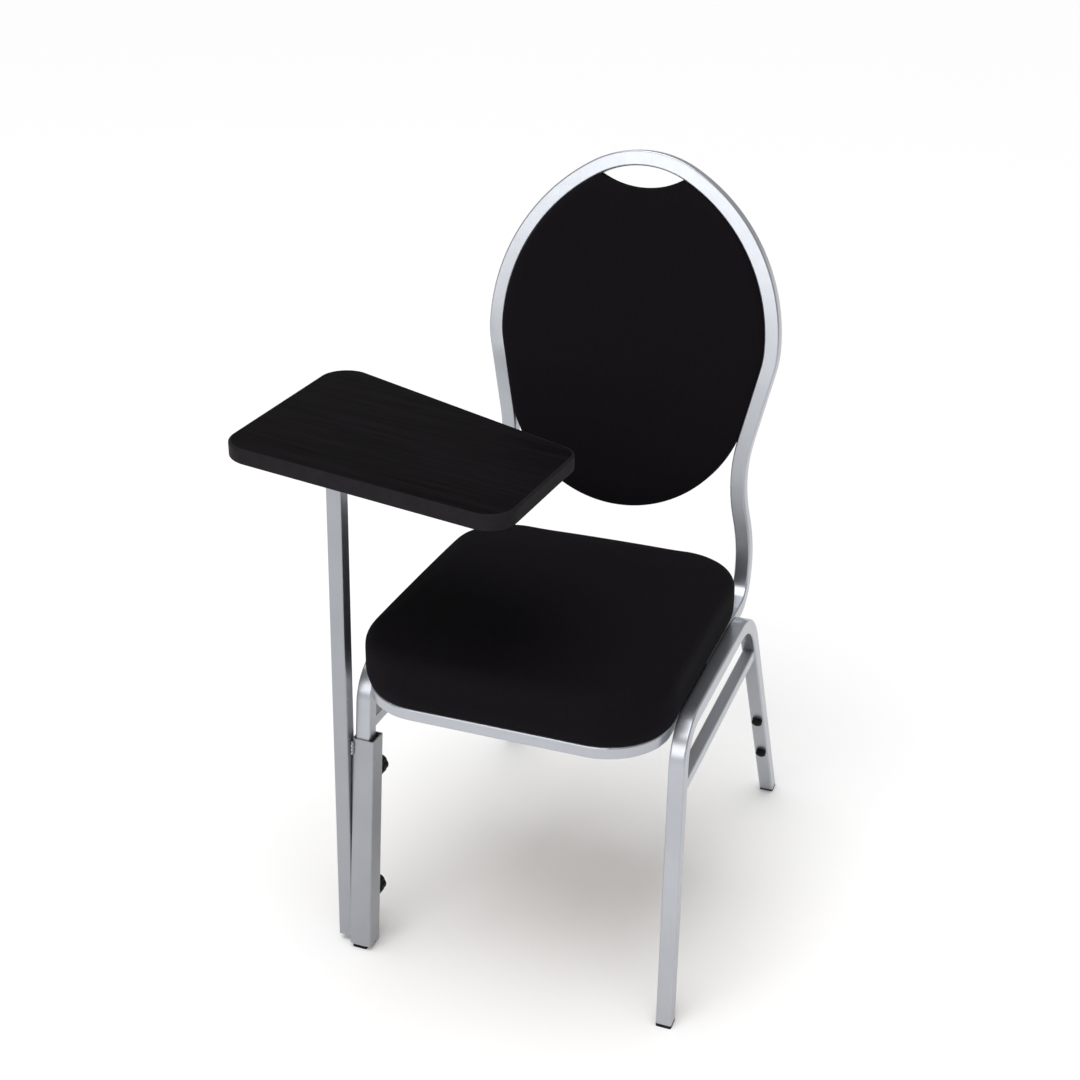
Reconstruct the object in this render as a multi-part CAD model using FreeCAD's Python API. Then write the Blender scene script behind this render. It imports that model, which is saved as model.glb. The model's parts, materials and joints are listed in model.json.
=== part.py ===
import FreeCAD, Part
import math
import os

# Stacking banquet chair in square steel tube, with a round padded back and a writing tablet
# on a square post. A sleeve welded to the post is clamped on the front leg at the sitter's right.
# Millimetres, z up. The sitter faces -y and has +x at the left hand.
# The finished chair is moved so that the middle of the underside of its bounding box is the origin.

# Steel tube
tube = 19.0
tube_wall = 1.5
# The stretchers and the seat's front rail are a smaller tube that slips into the larger one
slip_clearance = 0.5
# Clearance between welded tubes that lie side by side
weld_gap = 0.1

# Side leg frames, each an inverted U of tube that leans out towards the feet
rail_height = 381.0
rail_spacing = 385.4
leg_splay = 0.87
front_foot_y = -240.5
rear_foot_y = 296.3
front_lean = 4.1
rear_lean = 27.8
front_leg_bend = 45.0
rear_leg_bend = 96.0
stretcher_height = 308.5

# Foot caps and the stacking buttons on the rear legs
cap_height = 4.0
plug_length = 14.0
plug_clearance = 0.1
button_diameter = 14.0
button_height = 7.5
button_edge = 4.5
button_stem = 6.0
button_stem_length = 4.5
upper_button_height = 171.0
lower_button_height = 100.0

# Seat frame: the front rail slips into the hoop's two side tubes beside the leg rails
seat_drop = 3.0
seat_front_y = -285.0
seat_corner_bend = 69.5
splice_y = -60.0
splice_length = 30.0
front_cross_rail_y = -150.0
rear_cross_rail_y = 40.0

# Back hoop, from the seat tubes up the uprights to the top of the round back
back_foot_y = 142.5
back_rake = 8.5
upright_bend = 40.0
upright_run = 7.3
flare_radius = 250.0
flare_lean = 15.4
neck_radius = 214.0
waist_lean = 12.1
waist_run = 92.3
shoulder_radius = 123.0
crown_radius = 126.5
crown_angle = 29.6

# Seat cushion on its board. Its sides swell out above the leg rails.
cushion_side_gap = 1.2
cushion_front_gap = 0.5
cushion_rear_gap = 2.5
cushion_front_corner = 78.0
cushion_rear_corner = 68.0
board_inset = 8.0
seat_board_thickness = 12.0
cushion_swell = 6.5
cushion_swell_height = 25.0
cushion_crown_height = 77.0
cushion_crown_radius = 3000.0
cushion_rim_round = 15.0
cushion_foot_round = 4.0

# Seat screws and tee nuts
seat_screw = 6.0
seat_screw_x = 110.0
seat_screw_head = 12.0
seat_screw_head_height = 3.5
seat_screw_grip = 10.0
tee_barrel = 8.4
tee_barrel_length = 9.0
tee_flange = 18.0
tee_flange_thickness = 1.5
screw_clearance = 0.3
thread_clearance = 0.1

# Back pad, board and rear cover, inside the hoop
pad_gap = 0.4
hand_gap = 28.0
scoop_half_width = 54.0
pad_bottom_height = 102.0
back_board_thickness = 8.0
back_board_inset = 6.0
pad_crown_height = 27.0
pad_crown_radius = 2800.0
pad_rim_round = 6.0
cover_crown_height = 12.0
cover_crown_radius = 3600.0
cover_rim_round = 3.0

# Tabs welded inside the hoop, and the screws that hold the back board on them
tab_length = 24.0
tab_width = 18.0
tab_thickness = 2.5
tab_angle = 35.0
tab_screw_reach = 15.0
back_screw = 3.5
back_screw_grip = 6.0
back_screw_head = 7.0
back_screw_head_height = 2.2

# Clamp sleeve round the front leg
sleeve_wall = 2.0
sleeve_play = 5.6
sleeve_side_gap = 1.5
sleeve_front_gap = 0.5
sleeve_floor_gap = 6.0
sleeve_stretcher_gap = 7.0

# Clamp nuts, studs and knobs on the rear face of the sleeve
stud_diameter = 8.0
stud_tip_gap = 0.2
stud_hole_clearance = 0.3
nut_clearance = 0.06
nut_across_flats = 13.0
nut_thickness = 6.5
knob_nut_gap = 2.0
knob_diameter = 26.0
knob_thickness = 15.0
knob_rim = 1.5
knob_bore_depth = 10.0
knob_clearance = 0.05
knob_flutes = 7
flute_radius = 4.0
flute_depth = 1.6
upper_clamp_drop = 55.0
lower_clamp_rise = 62.0

# Tablet post and its weld beads
post_set_back = 7.0
post_floor_gap = 9.0
bead_radius = 2.6
bead_length = 14.0
bead_bite = 1.1
bead_end_gap = 5.0

# Writing tablet. Its corners are placed from the post's centre line.
tablet_top = 680.0
tablet_thickness = 18.0
tablet_band = 3.0
tablet_edge_round = 2.4
tablet_outer_reach = 115.0
tablet_rear_outer_reach = 240.0
tablet_front_outer_reach = 60.0
tablet_rear_inner_reach_x = 265.0
tablet_rear_inner_reach_y = 64.5
tablet_front_inner_reach_x = 255.0
tablet_front_inner_reach_y = 141.0
tablet_rear_outer_corner = 32.0
tablet_rear_inner_corner = 30.0
tablet_front_inner_corner = 30.0
tablet_front_outer_corner = 45.0
plate_width = 110.0
plate_depth = 80.0
plate_thickness = 4.0
plate_screw_inset = 12.0
tablet_screw = 4.0
tablet_screw_grip = 10.0
tablet_screw_head = 8.0
tablet_screw_head_height = 2.6

# Values that follow from the sizes above
Vector = FreeCAD.Vector
Rotation = FreeCAD.Rotation
Placement = FreeCAD.Placement
ACROSS = Vector(1, 0, 0)
BACK = Vector(0, 1, 0)
UP = Vector(0, 0, 1)
block_size = 3000.0
half_tube = tube / 2
small_tube = tube - 2 * tube_wall - 2 * slip_clearance
half_small = small_tube / 2


def sin(degrees):
    return math.sin(math.radians(degrees))


def cos(degrees):
    return math.cos(math.radians(degrees))


def tan(degrees):
    return math.tan(math.radians(degrees))


def at(x, y, z, axis=UP, angle=0):
    return Placement(Vector(x, y, z), Rotation(axis, angle))


def placed(shape, frame):
    moved = shape.copy()
    moved.Placement = frame.multiply(moved.Placement)
    return moved


def mirrored(shape):
    return shape.mirror(Vector(0, 0, 0), ACROSS)


def joined(shapes):
    return shapes[0].fuse(shapes[1:]).removeSplitter()


def rounded_outline(points, radii):
    # Closed outline through the corner points, each rounded by its own radius
    edges = []
    ends = []
    count = len(points)
    for i in range(count):
        corner = points[i]
        before = (points[i - 1] - corner).normalize()
        after = (points[(i + 1) % count] - corner).normalize()
        half_angle = before.getAngle(after) / 2
        trim = radii[i] / math.tan(half_angle)
        middle_way = (before + after).normalize()
        centre = corner + middle_way * (radii[i] / math.sin(half_angle))
        first = corner + before * trim
        last = corner + after * trim
        edges.append(Part.Arc(first, centre - middle_way * radii[i], last).toShape())
        ends.append((first, last))
    for i in range(count):
        edges.append(Part.makeLine(ends[i][1], ends[(i + 1) % count][0]))
    return Part.Wire(Part.__sortEdges__(edges))


def square_face(side, corner):
    half = side / 2
    corners = [(half, half), (-half, half), (-half, -half), (half, -half)]
    return Part.Face(rounded_outline([Vector(x, y, 0) for x, y in corners], [corner] * 4))


def bar_along(start, steps, side, corner):
    # Solid square bar that follows straight runs and bends from a starting frame whose z is the heading
    frame = start
    pieces = []
    for step in steps:
        face = square_face(side, corner)
        if step[0] == "run":
            piece = face.extrude(UP * step[1])
            move = at(0, 0, step[1])
        else:
            centre = step[3] * step[1]
            axis = UP.cross(step[3])
            piece = face.revolve(centre, axis, step[2])
            move = Placement(Vector(0, 0, 0), Rotation(axis, step[2]), centre)
        pieces.append(placed(piece, frame))
        frame = frame.multiply(move)
    return pieces


def run(length):
    return ("run", length)


def bend(radius, angle, towards):
    return ("bend", radius, angle, towards)


def outer_and_inner(start, steps, side, wall):
    corner = 1.5 * wall
    outer = bar_along(start, steps, side, corner)
    inner = bar_along(start, steps, side - 2 * wall, corner - wall)
    return outer, inner


def hollow(outer, inner):
    return joined(outer).cut(joined(inner))


def half_space(frame, offset, side):
    # Large block behind (side 1) or in front of (side -1) a plane across the frame's y axis
    low = 0 if side > 0 else -block_size
    block = Part.makeBox(block_size, block_size, block_size, Vector(-block_size / 2, low, -block_size / 2))
    return placed(block, frame.multiply(at(0, offset, 0)))


def level_slab(low, high):
    corner = Vector(-block_size / 2, -block_size / 2, low)
    return Part.makeBox(block_size, block_size, high - low, corner)


def rod(diameter, length, frame, before=0):
    # Round bar along a frame's z, which starts a distance before the frame's origin
    return placed(Part.makeCylinder(diameter / 2, length + before, Vector(0, 0, -before)), frame)


def screws_at(frames, diameter, length, head, head_height):
    # Screws with the under side of the head at each frame's origin and the shank along its z
    origin = at(0, 0, 0)
    screw = joined([rod(diameter, length, origin), rod(head, 0, origin, head_height)])
    return Part.Compound([placed(screw, frame) for frame in frames])


def turned(profile):
    # Round body about z from a closed profile of edges in the x-z plane
    return Part.Face(Part.Wire(Part.__sortEdges__(profile))).revolve(Vector(0, 0, 0), UP, 360)


def crowned(outline, height, crown_radius_here, middle_y, rim_round):
    # Padded body on a flat base at z 0: the outline raised, domed by a large ball and rounded at its rim
    ball = placed(Part.makeSphere(crown_radius_here), at(0, middle_y, height - crown_radius_here, BACK, 90))
    body = Part.Face(outline).extrude(UP * height).common(ball)
    domes = [face for face in body.Faces if isinstance(face.Surface, Part.Sphere)]
    return body.makeFillet(rim_round, domes[0].Edges)


def polyline(points):
    return [Part.makeLine(Vector(*a), Vector(*b)) for a, b in zip(points, points[1:])]


# Frames of the sitter's left leg frame. The right one mirrors it.
foot_x = rail_spacing / 2 + rail_height * tan(leg_splay)
side_plane = at(foot_x, 0, 0, BACK, -leg_splay)
front_leg = side_plane.multiply(at(0, front_foot_y, 0, ACROSS, -front_lean))
rear_leg = side_plane.multiply(at(0, rear_foot_y, 0, ACROSS, rear_lean))
plane_rail_height = rail_height / cos(leg_splay)
foot_trim = 2 * tube


def leg_frame():
    front_turn = 90 - front_lean
    rear_turn = 90 - rear_lean
    front_tangent = front_leg_bend * tan(front_turn / 2)
    rear_tangent = rear_leg_bend * tan(rear_turn / 2)
    front_corner_y = front_foot_y + plane_rail_height * tan(front_lean)
    rear_corner_y = rear_foot_y - plane_rail_height * tan(rear_lean)
    steps = [
        run(plane_rail_height / cos(front_lean) - front_tangent + foot_trim),
        bend(front_leg_bend, front_turn, BACK),
        run(rear_corner_y - front_corner_y - front_tangent - rear_tangent),
        bend(rear_leg_bend, rear_turn, BACK),
        run(plane_rail_height / cos(rear_lean) - rear_tangent + foot_trim),
    ]
    outer, inner = outer_and_inner(front_leg.multiply(at(0, 0, -foot_trim)), steps, tube, tube_wall)
    frame = hollow(outer, inner).cut(level_slab(-block_size, cap_height))
    for button in button_frames():
        frame = frame.cut(rod(button_stem + 2 * plug_clearance, tube_wall, button, 1.5 * tube_wall))
    return frame


def button_frames():
    heights = [upper_button_height, lower_button_height]
    return [
        rear_leg.multiply(at(0, -half_tube, height / cos(rear_lean), ACROSS, 90))
        for height in heights
    ]


def stack_buttons():
    radius = button_diameter / 2
    stem = button_stem / 2
    sides = polyline([
        (0, 0, button_height),
        (0, 0, -button_stem_length),
        (stem, 0, -button_stem_length),
        (stem, 0, 0),
        (radius, 0, 0),
        (radius, 0, button_edge),
    ])
    rise = button_height - button_edge
    sphere = (radius * radius + rise * rise) / (2 * rise)
    half_way = radius / 2
    middle = Vector(half_way, 0, button_height - sphere + math.sqrt(sphere ** 2 - half_way ** 2))
    dome = Part.Arc(Vector(radius, 0, button_edge), middle, Vector(0, 0, button_height)).toShape()
    button = turned(sides + [dome])
    return Part.Compound([placed(button, frame) for frame in button_frames()])


def side_stretcher():
    start = side_plane.multiply(at(0, front_foot_y, stretcher_height / cos(leg_splay), ACROSS, -90))
    outer, inner = outer_and_inner(start, [run(rear_foot_y - front_foot_y)], small_tube, tube_wall)
    between_legs = half_space(front_leg, half_tube, 1).common(half_space(rear_leg, -half_tube, -1))
    return hollow(outer, inner).common(between_legs)


def foot_cap(leg):
    start = leg.multiply(at(0, 0, -foot_trim))
    steps = [run(3 * foot_trim)]
    cap = joined(bar_along(start, steps, tube, 1.5 * tube_wall)).common(level_slab(0, cap_height))
    plug_side = tube - 2 * tube_wall - 2 * plug_clearance
    plug = joined(bar_along(start, steps, plug_side, tube_wall / 2))
    return joined([cap, plug.common(level_slab(cap_height, cap_height + plug_length))])


# Seat frame. Its side tubes lie against the inner faces of the leg rails.
seat_tube_z = rail_height - seat_drop
seat_tube_top = seat_tube_z + half_tube
seat_tube_x = rail_spacing / 2 - tube - weld_gap
upright_tangent = upright_bend * tan((90 - back_rake) / 2)
bend_start_y = back_foot_y - upright_tangent


def both_halves(start, steps, side):
    outer, inner = outer_and_inner(start, steps, side, tube_wall)
    outer += [mirrored(piece) for piece in outer]
    inner += [mirrored(piece) for piece in inner]
    return outer, inner


def seat_front_rail():
    rear_end = splice_y + splice_length
    start = at(seat_tube_x, rear_end, seat_tube_z, ACROSS, 90)
    steps = [
        run(rear_end - seat_front_y - half_small - seat_corner_bend),
        bend(seat_corner_bend, 90, -ACROSS),
        run(seat_tube_x - seat_corner_bend),
    ]
    return hollow(*both_halves(start, steps, small_tube))


def seat_screw_frames(y):
    # Under side of a cross rail, at each of its two screws
    return [at(x, y, seat_tube_z - half_tube) for x in (-seat_screw_x, seat_screw_x)]


def cross_rail(y):
    length = 2 * (seat_tube_x - half_tube)
    start = at(-length / 2, y, seat_tube_z, BACK, 90)
    rail = hollow(*outer_and_inner(start, [run(length)], tube, tube_wall))
    for frame in seat_screw_frames(y):
        rail = rail.cut(rod(seat_screw + 2 * screw_clearance, 2 * tube, frame, half_tube))
    return rail


# Round back, in a plane whose origin is where the uprights' centre lines meet the seat tubes'
back_plane = at(0, back_foot_y, seat_tube_z, ACROSS, 90 - back_rake)
neck_x = seat_tube_x - (flare_radius + neck_radius) * (1 - cos(flare_lean))
waist_spread = (neck_radius + shoulder_radius) * (1 - cos(waist_lean)) + waist_run * sin(waist_lean)
hoop_half_width = neck_x + waist_spread
side_radius = (hoop_half_width - crown_radius * sin(crown_angle)) / (1 - sin(crown_angle))
flare_rise = upright_tangent + upright_run + (flare_radius + neck_radius) * sin(flare_lean)
waist_bottom = flare_rise + neck_radius * sin(waist_lean)
widest_height = waist_bottom + waist_run * cos(waist_lean) + shoulder_radius * sin(waist_lean)
crown_height = widest_height + side_radius * cos(crown_angle) + crown_radius * (1 - cos(crown_angle))
side_centre_x = hoop_half_width - side_radius
shoulder_centre_x = hoop_half_width - shoulder_radius


def back_hoop_parts():
    start = at(seat_tube_x, splice_y, seat_tube_z, ACROSS, -90)
    steps = [
        run(bend_start_y - splice_y),
        bend(upright_bend, 90 - back_rake, -BACK),
        run(upright_run),
        bend(flare_radius, flare_lean, -ACROSS),
        bend(neck_radius, flare_lean + waist_lean, ACROSS),
        run(waist_run),
        bend(shoulder_radius, waist_lean, -ACROSS),
        bend(side_radius, 90 - crown_angle, -ACROSS),
        bend(crown_radius, crown_angle, -ACROSS),
    ]
    return both_halves(start, steps, tube)


scoop_bottom = crown_height - half_tube - hand_gap
pad_offset = half_tube + pad_gap
pad_side_radius = side_radius - pad_offset
scoop_end_height = widest_height + math.sqrt(pad_side_radius ** 2 - (scoop_half_width - side_centre_x) ** 2)
scoop_depth = scoop_end_height - scoop_bottom
scoop_radius = (scoop_half_width ** 2 + scoop_depth ** 2) / (2 * scoop_depth)
scoop_centre = scoop_bottom + scoop_radius


def pad_outline(inset, level):
    # Outline of the back pad, drawn in from the hoop's inner face, with the hand-hold scoop at the top
    # and a round free edge at the bottom that runs on from the straight waist
    offset = pad_offset + inset
    big = side_radius - offset
    small = shoulder_radius - offset
    scoop = scoop_radius + inset
    # Where the scoop meets the side
    gap = math.hypot(side_centre_x, scoop_centre - widest_height)
    along = (gap ** 2 + big ** 2 - scoop ** 2) / (2 * gap)
    across = math.sqrt(big ** 2 - along ** 2)
    way = Vector(-side_centre_x, scoop_centre - widest_height, 0).normalize()
    scoop_end = Vector(side_centre_x, widest_height, 0) + way * along + Vector(way.y, -way.x, 0) * across
    side_centre = Vector(side_centre_x, widest_height, 0)
    side_middle = side_centre + (scoop_end - side_centre + ACROSS * big).normalize() * big
    widest = Vector(hoop_half_width - offset, widest_height, 0)
    shoulder_centre = Vector(shoulder_centre_x, widest_height, 0)
    shoulder_middle = shoulder_centre + Vector(cos(waist_lean / 2), -sin(waist_lean / 2), 0) * small
    outward = Vector(cos(waist_lean), -sin(waist_lean), 0)
    waist_top = shoulder_centre + outward * small
    bottom = pad_bottom_height + inset
    bottom_radius = (waist_top.dot(outward) + bottom * sin(waist_lean)) / (1 - sin(waist_lean))
    waist_end = Vector(0, bottom + bottom_radius, 0) + outward * bottom_radius
    left = [
        Part.Arc(scoop_end, side_middle, widest).toShape(),
        Part.Arc(widest, shoulder_middle, waist_top).toShape(),
        Part.makeLine(waist_top, waist_end),
    ]
    right = [mirrored(edge) for edge in left]
    scoop_right = Vector(-scoop_end.x, scoop_end.y, 0)
    waist_right = Vector(-waist_end.x, waist_end.y, 0)
    top = Part.Arc(scoop_right, Vector(0, scoop_centre - scoop, 0), scoop_end).toShape()
    under = Part.Arc(waist_end, Vector(0, bottom, 0), waist_right).toShape()
    outline = Part.Wire(Part.__sortEdges__([top, under] + left + right))
    outline.translate(Vector(0, 0, level))
    return outline


board_rear = -back_board_thickness / 2
pad_middle = (scoop_bottom + pad_bottom_height) / 2


def tab_frames():
    # Frames in the back plane with x towards the inside of the hoop, at its upper and lower tabs
    side_centre = Vector(side_centre_x, widest_height, 0)
    upper = side_centre + Vector(cos(tab_angle), sin(tab_angle), 0) * side_radius
    shoulder_centre = Vector(shoulder_centre_x, widest_height, 0)
    waist_top = shoulder_centre + Vector(cos(waist_lean), -sin(waist_lean), 0) * shoulder_radius
    lower = waist_top - Vector(sin(waist_lean), cos(waist_lean), 0) * (waist_run / 2)
    frames = []
    for point, angle in ((upper, tab_angle), (lower, -waist_lean)):
        frames.append(at(point.x, point.y, board_rear, UP, 180 + angle))
        frames.append(at(-point.x, point.y, board_rear, UP, -angle))
    return frames


def back_tabs(filled_hoop):
    tabs = []
    for frame in tab_frames():
        blank = Part.makeBox(half_tube / 2 + tab_length, tab_width, tab_thickness,
                             Vector(half_tube / 2, -tab_width / 2, -tab_thickness))
        hole = rod(back_screw + 2 * screw_clearance, tab_thickness,
                   at(half_tube + tab_screw_reach, 0, 0), 2 * tab_thickness)
        tabs.append(placed(blank.cut(hole), back_plane.multiply(frame)).cut(filled_hoop))
    return Part.Compound(tabs)


def back_screw_frames():
    # Rear face of each tab, at its screw
    reach = at(half_tube + tab_screw_reach, 0, -tab_thickness)
    return [back_plane.multiply(frame).multiply(reach) for frame in tab_frames()]


def back_screws():
    length = tab_thickness + back_screw_grip
    return screws_at(back_screw_frames(), back_screw, length, back_screw_head, back_screw_head_height)


def back_board_blank():
    blank = Part.Face(pad_outline(back_board_inset, board_rear)).extrude(UP * back_board_thickness)
    return placed(blank, back_plane)


def back_board():
    board = back_board_blank()
    length = tab_thickness + back_screw_grip + thread_clearance
    for frame in back_screw_frames():
        board = board.cut(rod(back_screw + 2 * thread_clearance, length, frame))
    return board


def back_pad():
    pad = crowned(pad_outline(0, 0), pad_crown_height, pad_crown_radius, pad_middle, pad_rim_round)
    return placed(pad, back_plane.multiply(at(0, 0, board_rear))).cut(back_board_blank())


def back_rear_cover():
    # Rear cover with a pocket round each tab and its screw
    cover = crowned(pad_outline(0, 0), cover_crown_height, cover_crown_radius, pad_middle, cover_rim_round)
    cover = placed(cover, at(0, 0, board_rear, BACK, 180))
    for frame in tab_frames():
        depth = tab_thickness + back_screw_head_height + 2 * screw_clearance
        pocket = Part.makeBox(tab_length + half_tube, tab_width + 2 * pad_gap, depth,
                              Vector(pad_gap, -tab_width / 2 - pad_gap, -depth))
        cover = cover.cut(placed(pocket, frame))
    return placed(cover, back_plane)


# Seat cushion, board and their screws
cushion_half_width = seat_tube_x + half_tube - cushion_side_gap
cushion_front_y = seat_front_y + cushion_front_gap
cushion_rear_y = bend_start_y - cushion_rear_gap


def seat_outline(inset, level):
    half = cushion_half_width - inset
    front = cushion_front_y + inset
    rear = cushion_rear_y - inset
    points = [Vector(half, rear, level), Vector(-half, rear, level),
              Vector(-half, front, level), Vector(half, front, level)]
    front_corner = cushion_front_corner - inset
    rear_corner = cushion_rear_corner - inset
    return rounded_outline(points, [rear_corner, rear_corner, front_corner, front_corner])


def seat_board_blank():
    return Part.Face(seat_outline(board_inset, seat_tube_top)).extrude(UP * seat_board_thickness)


def seat_cushion():
    middle = (cushion_front_y + cushion_rear_y) / 2
    widest = seat_outline(-cushion_swell, cushion_swell_height)
    sides = Part.makeLoft([seat_outline(0, 0), widest], True, True)
    height = cushion_crown_height - cushion_swell_height
    top = crowned(seat_outline(-cushion_swell, 0), height, cushion_crown_radius, middle, cushion_rim_round)
    cushion = joined([sides, placed(top, at(0, 0, cushion_swell_height))])
    feet = [edge for edge in cushion.Edges if edge.BoundBox.ZMax < cushion_foot_round / 2]
    cushion = cushion.makeFillet(cushion_foot_round, feet)
    return placed(cushion, at(0, 0, seat_tube_top)).cut(seat_board_blank())


def all_seat_screw_frames():
    return seat_screw_frames(front_cross_rail_y) + seat_screw_frames(rear_cross_rail_y)


def tee_nut_frames():
    top = tube + seat_board_thickness
    return [frame.multiply(at(0, 0, top)) for frame in all_seat_screw_frames()]


def tee_blank(barrel_length):
    # Flange and barrel that hang from z 0
    flange = rod(tee_flange, 0, at(0, 0, 0), tee_flange_thickness)
    return joined([flange, rod(tee_barrel, 0, at(0, 0, 0), barrel_length)])


def seat_tee_nuts():
    bore = rod(seat_screw + 2 * thread_clearance, tee_barrel_length, at(0, 0, 0), 2 * tee_barrel_length)
    nut = tee_blank(tee_barrel_length).cut(bore)
    return Part.Compound([placed(nut, frame) for frame in tee_nut_frames()])


def seat_board():
    board = seat_board_blank()
    hole = tee_blank(seat_board_thickness)
    for frame in tee_nut_frames():
        board = board.cut(placed(hole, frame))
    return board


def seat_screws():
    length = tube + seat_screw_grip
    return screws_at(all_seat_screw_frames(), seat_screw, length, seat_screw_head, seat_screw_head_height)


# Clamp sleeve. Its play is mostly at the inside and the rear of the leg, where the studs push.
# The tablet arm is drawn at the sitter's left leg and mirrored to the right one.
sleeve_inside = tube + sleeve_play
sleeve_side = sleeve_inside + 2 * sleeve_wall
sleeve_centre_x = half_tube + sleeve_side_gap - sleeve_inside / 2
sleeve_centre_y = sleeve_inside / 2 - half_tube - sleeve_front_gap
sleeve_top = stretcher_height - half_small - sleeve_stretcher_gap
sleeve_length = sleeve_top - sleeve_floor_gap
sleeve_base = front_leg.multiply(at(sleeve_centre_x, sleeve_centre_y, sleeve_floor_gap))
sleeve_outer_face = sleeve_centre_x + sleeve_side / 2
sleeve_front_face = sleeve_centre_y - sleeve_side / 2
sleeve_rear = sleeve_centre_y + sleeve_side / 2
clamp_heights = [sleeve_top - upper_clamp_drop, sleeve_floor_gap + lower_clamp_rise]


def clamp_frame(height, reach):
    # Frame on a clamp's axis with z pointing back, a given reach behind the leg's centre line
    return front_leg.multiply(at(0, reach, height, ACROSS, -90))


def clamp_sleeve():
    sleeve = hollow(*outer_and_inner(sleeve_base, [run(sleeve_length)], sleeve_side, sleeve_wall))
    hole = stud_diameter + 2 * stud_hole_clearance
    for height in clamp_heights:
        sleeve = sleeve.cut(rod(hole, sleeve_wall, clamp_frame(height, sleeve_rear), 1.5 * sleeve_wall))
    return sleeve


def clamp_nuts():
    radius = nut_across_flats / 2 / cos(30)
    corners = [Vector(radius * cos(60 * i), radius * sin(60 * i), 0) for i in range(7)]
    hexagon = Part.Face(Part.makePolygon(corners)).extrude(UP * nut_thickness)
    nut = hexagon.cut(rod(stud_diameter + 2 * nut_clearance, 2 * nut_thickness, at(0, 0, 0), nut_thickness))
    return Part.Compound([placed(nut, clamp_frame(height, sleeve_rear)) for height in clamp_heights])


knob_base = sleeve_rear + nut_thickness + knob_nut_gap


def clamp_stud(height):
    tip = half_tube + stud_tip_gap
    length = knob_base + knob_bore_depth - tip
    return rod(stud_diameter, length, clamp_frame(height, tip))


def clamp_knob(height):
    radius = knob_diameter / 2
    body = Part.makeCylinder(radius, knob_thickness)
    rims = [edge for edge in body.Edges if len(edge.Vertexes) == 1]
    body = body.makeChamfer(knob_rim, rims)
    reach = radius + flute_radius - flute_depth
    for i in range(knob_flutes):
        angle = 360 * i / knob_flutes
        flute_frame = at(reach * cos(angle), reach * sin(angle), 0)
        body = body.cut(rod(2 * flute_radius, 2 * knob_thickness, flute_frame, knob_thickness))
    bore = rod(stud_diameter + 2 * knob_clearance, knob_bore_depth + knob_clearance, at(0, 0, 0))
    return placed(body.cut(bore), clamp_frame(height, knob_base))


# Tablet post. It lies against the sleeve's outer face, so it has the leg's splay but not its lean.
post_face = sleeve_outer_face + weld_gap
post_frame = side_plane.multiply(at(post_face + half_tube, front_foot_y + post_set_back, 0))
board_bottom = tablet_top - tablet_thickness
post_top = board_bottom - plate_thickness
post_head = post_frame.multVec(UP * (post_top / cos(leg_splay)))
post_x = post_head.x
post_y = post_head.y


def tablet_post():
    post = hollow(*outer_and_inner(post_frame, [run(tablet_top)], tube, tube_wall))
    return post.common(level_slab(post_floor_gap, post_top))


def weld_bead(frame):
    # Bead with round ends that runs down from a frame's origin
    core = Part.makeCylinder(bead_radius, bead_length, Vector(0, 0, -bead_length))
    ends = [Part.makeSphere(bead_radius, Vector(0, 0, -drop)) for drop in (0, bead_length)]
    return placed(joined([core] + ends), frame)


def post_welds():
    # One bead in front, where the post stands out past the sleeve, and one behind the post
    start = sleeve_top - bead_end_gap
    standing = bead_radius - bead_bite
    front = front_leg.multiply(at(post_face - standing, sleeve_front_face - standing, start))
    rear_y = front_foot_y + post_set_back + half_tube + standing
    rear = side_plane.multiply(at(sleeve_outer_face + standing, rear_y, start * cos(front_lean)))
    return Part.Compound([weld_bead(front), weld_bead(rear)])


def plate_screw_frames():
    x_reach = plate_width / 2 - plate_screw_inset
    y_reach = plate_depth / 2 - plate_screw_inset
    spots = [(-x_reach, -y_reach), (x_reach, -y_reach), (x_reach, y_reach), (-x_reach, y_reach)]
    return [at(post_x + x, post_y + y, post_top) for x, y in spots]


def tablet_plate():
    x_reach = plate_width / 2
    y_reach = plate_depth / 2
    points = [Vector(x_reach, y_reach, 0), Vector(-x_reach, y_reach, 0),
              Vector(-x_reach, -y_reach, 0), Vector(x_reach, -y_reach, 0)]
    outline = rounded_outline(points, [plate_screw_inset / 2] * 4)
    plate = placed(Part.Face(outline).extrude(UP * plate_thickness), at(post_x, post_y, post_top))
    hole = tablet_screw + 2 * screw_clearance
    for frame in plate_screw_frames():
        plate = plate.cut(rod(hole, 2 * plate_thickness, frame, plate_thickness))
    return plate


def tablet_screws():
    length = plate_thickness + tablet_screw_grip
    return screws_at(plate_screw_frames(), tablet_screw, length, tablet_screw_head, tablet_screw_head_height)


def tablet_outline():
    points = [
        Vector(post_x + tablet_outer_reach, post_y + tablet_rear_outer_reach, board_bottom),
        Vector(post_x - tablet_rear_inner_reach_x, post_y + tablet_rear_inner_reach_y, board_bottom),
        Vector(post_x - tablet_front_inner_reach_x, post_y - tablet_front_inner_reach_y, board_bottom),
        Vector(post_x + tablet_outer_reach, post_y - tablet_front_outer_reach, board_bottom),
    ]
    rear_corners = [tablet_rear_outer_corner, tablet_rear_inner_corner]
    front_corners = [tablet_front_inner_corner, tablet_front_outer_corner]
    return rounded_outline(points, rear_corners + front_corners)


def tablet_core():
    core = Part.Face(tablet_outline()).makeOffset2D(-tablet_band)
    return core.extrude(UP * tablet_thickness)


def tablet_board():
    board = tablet_core()
    length = plate_thickness + tablet_screw_grip + thread_clearance
    for frame in plate_screw_frames():
        board = board.cut(rod(tablet_screw + 2 * thread_clearance, length, frame))
    return board


def tablet_edge_band():
    slab = Part.Face(tablet_outline()).extrude(UP * tablet_thickness)
    rims = [edge for edge in slab.Edges if edge.BoundBox.ZLength < tablet_thickness / 2]
    return slab.makeFillet(tablet_edge_round, rims).cut(tablet_core())


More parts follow.
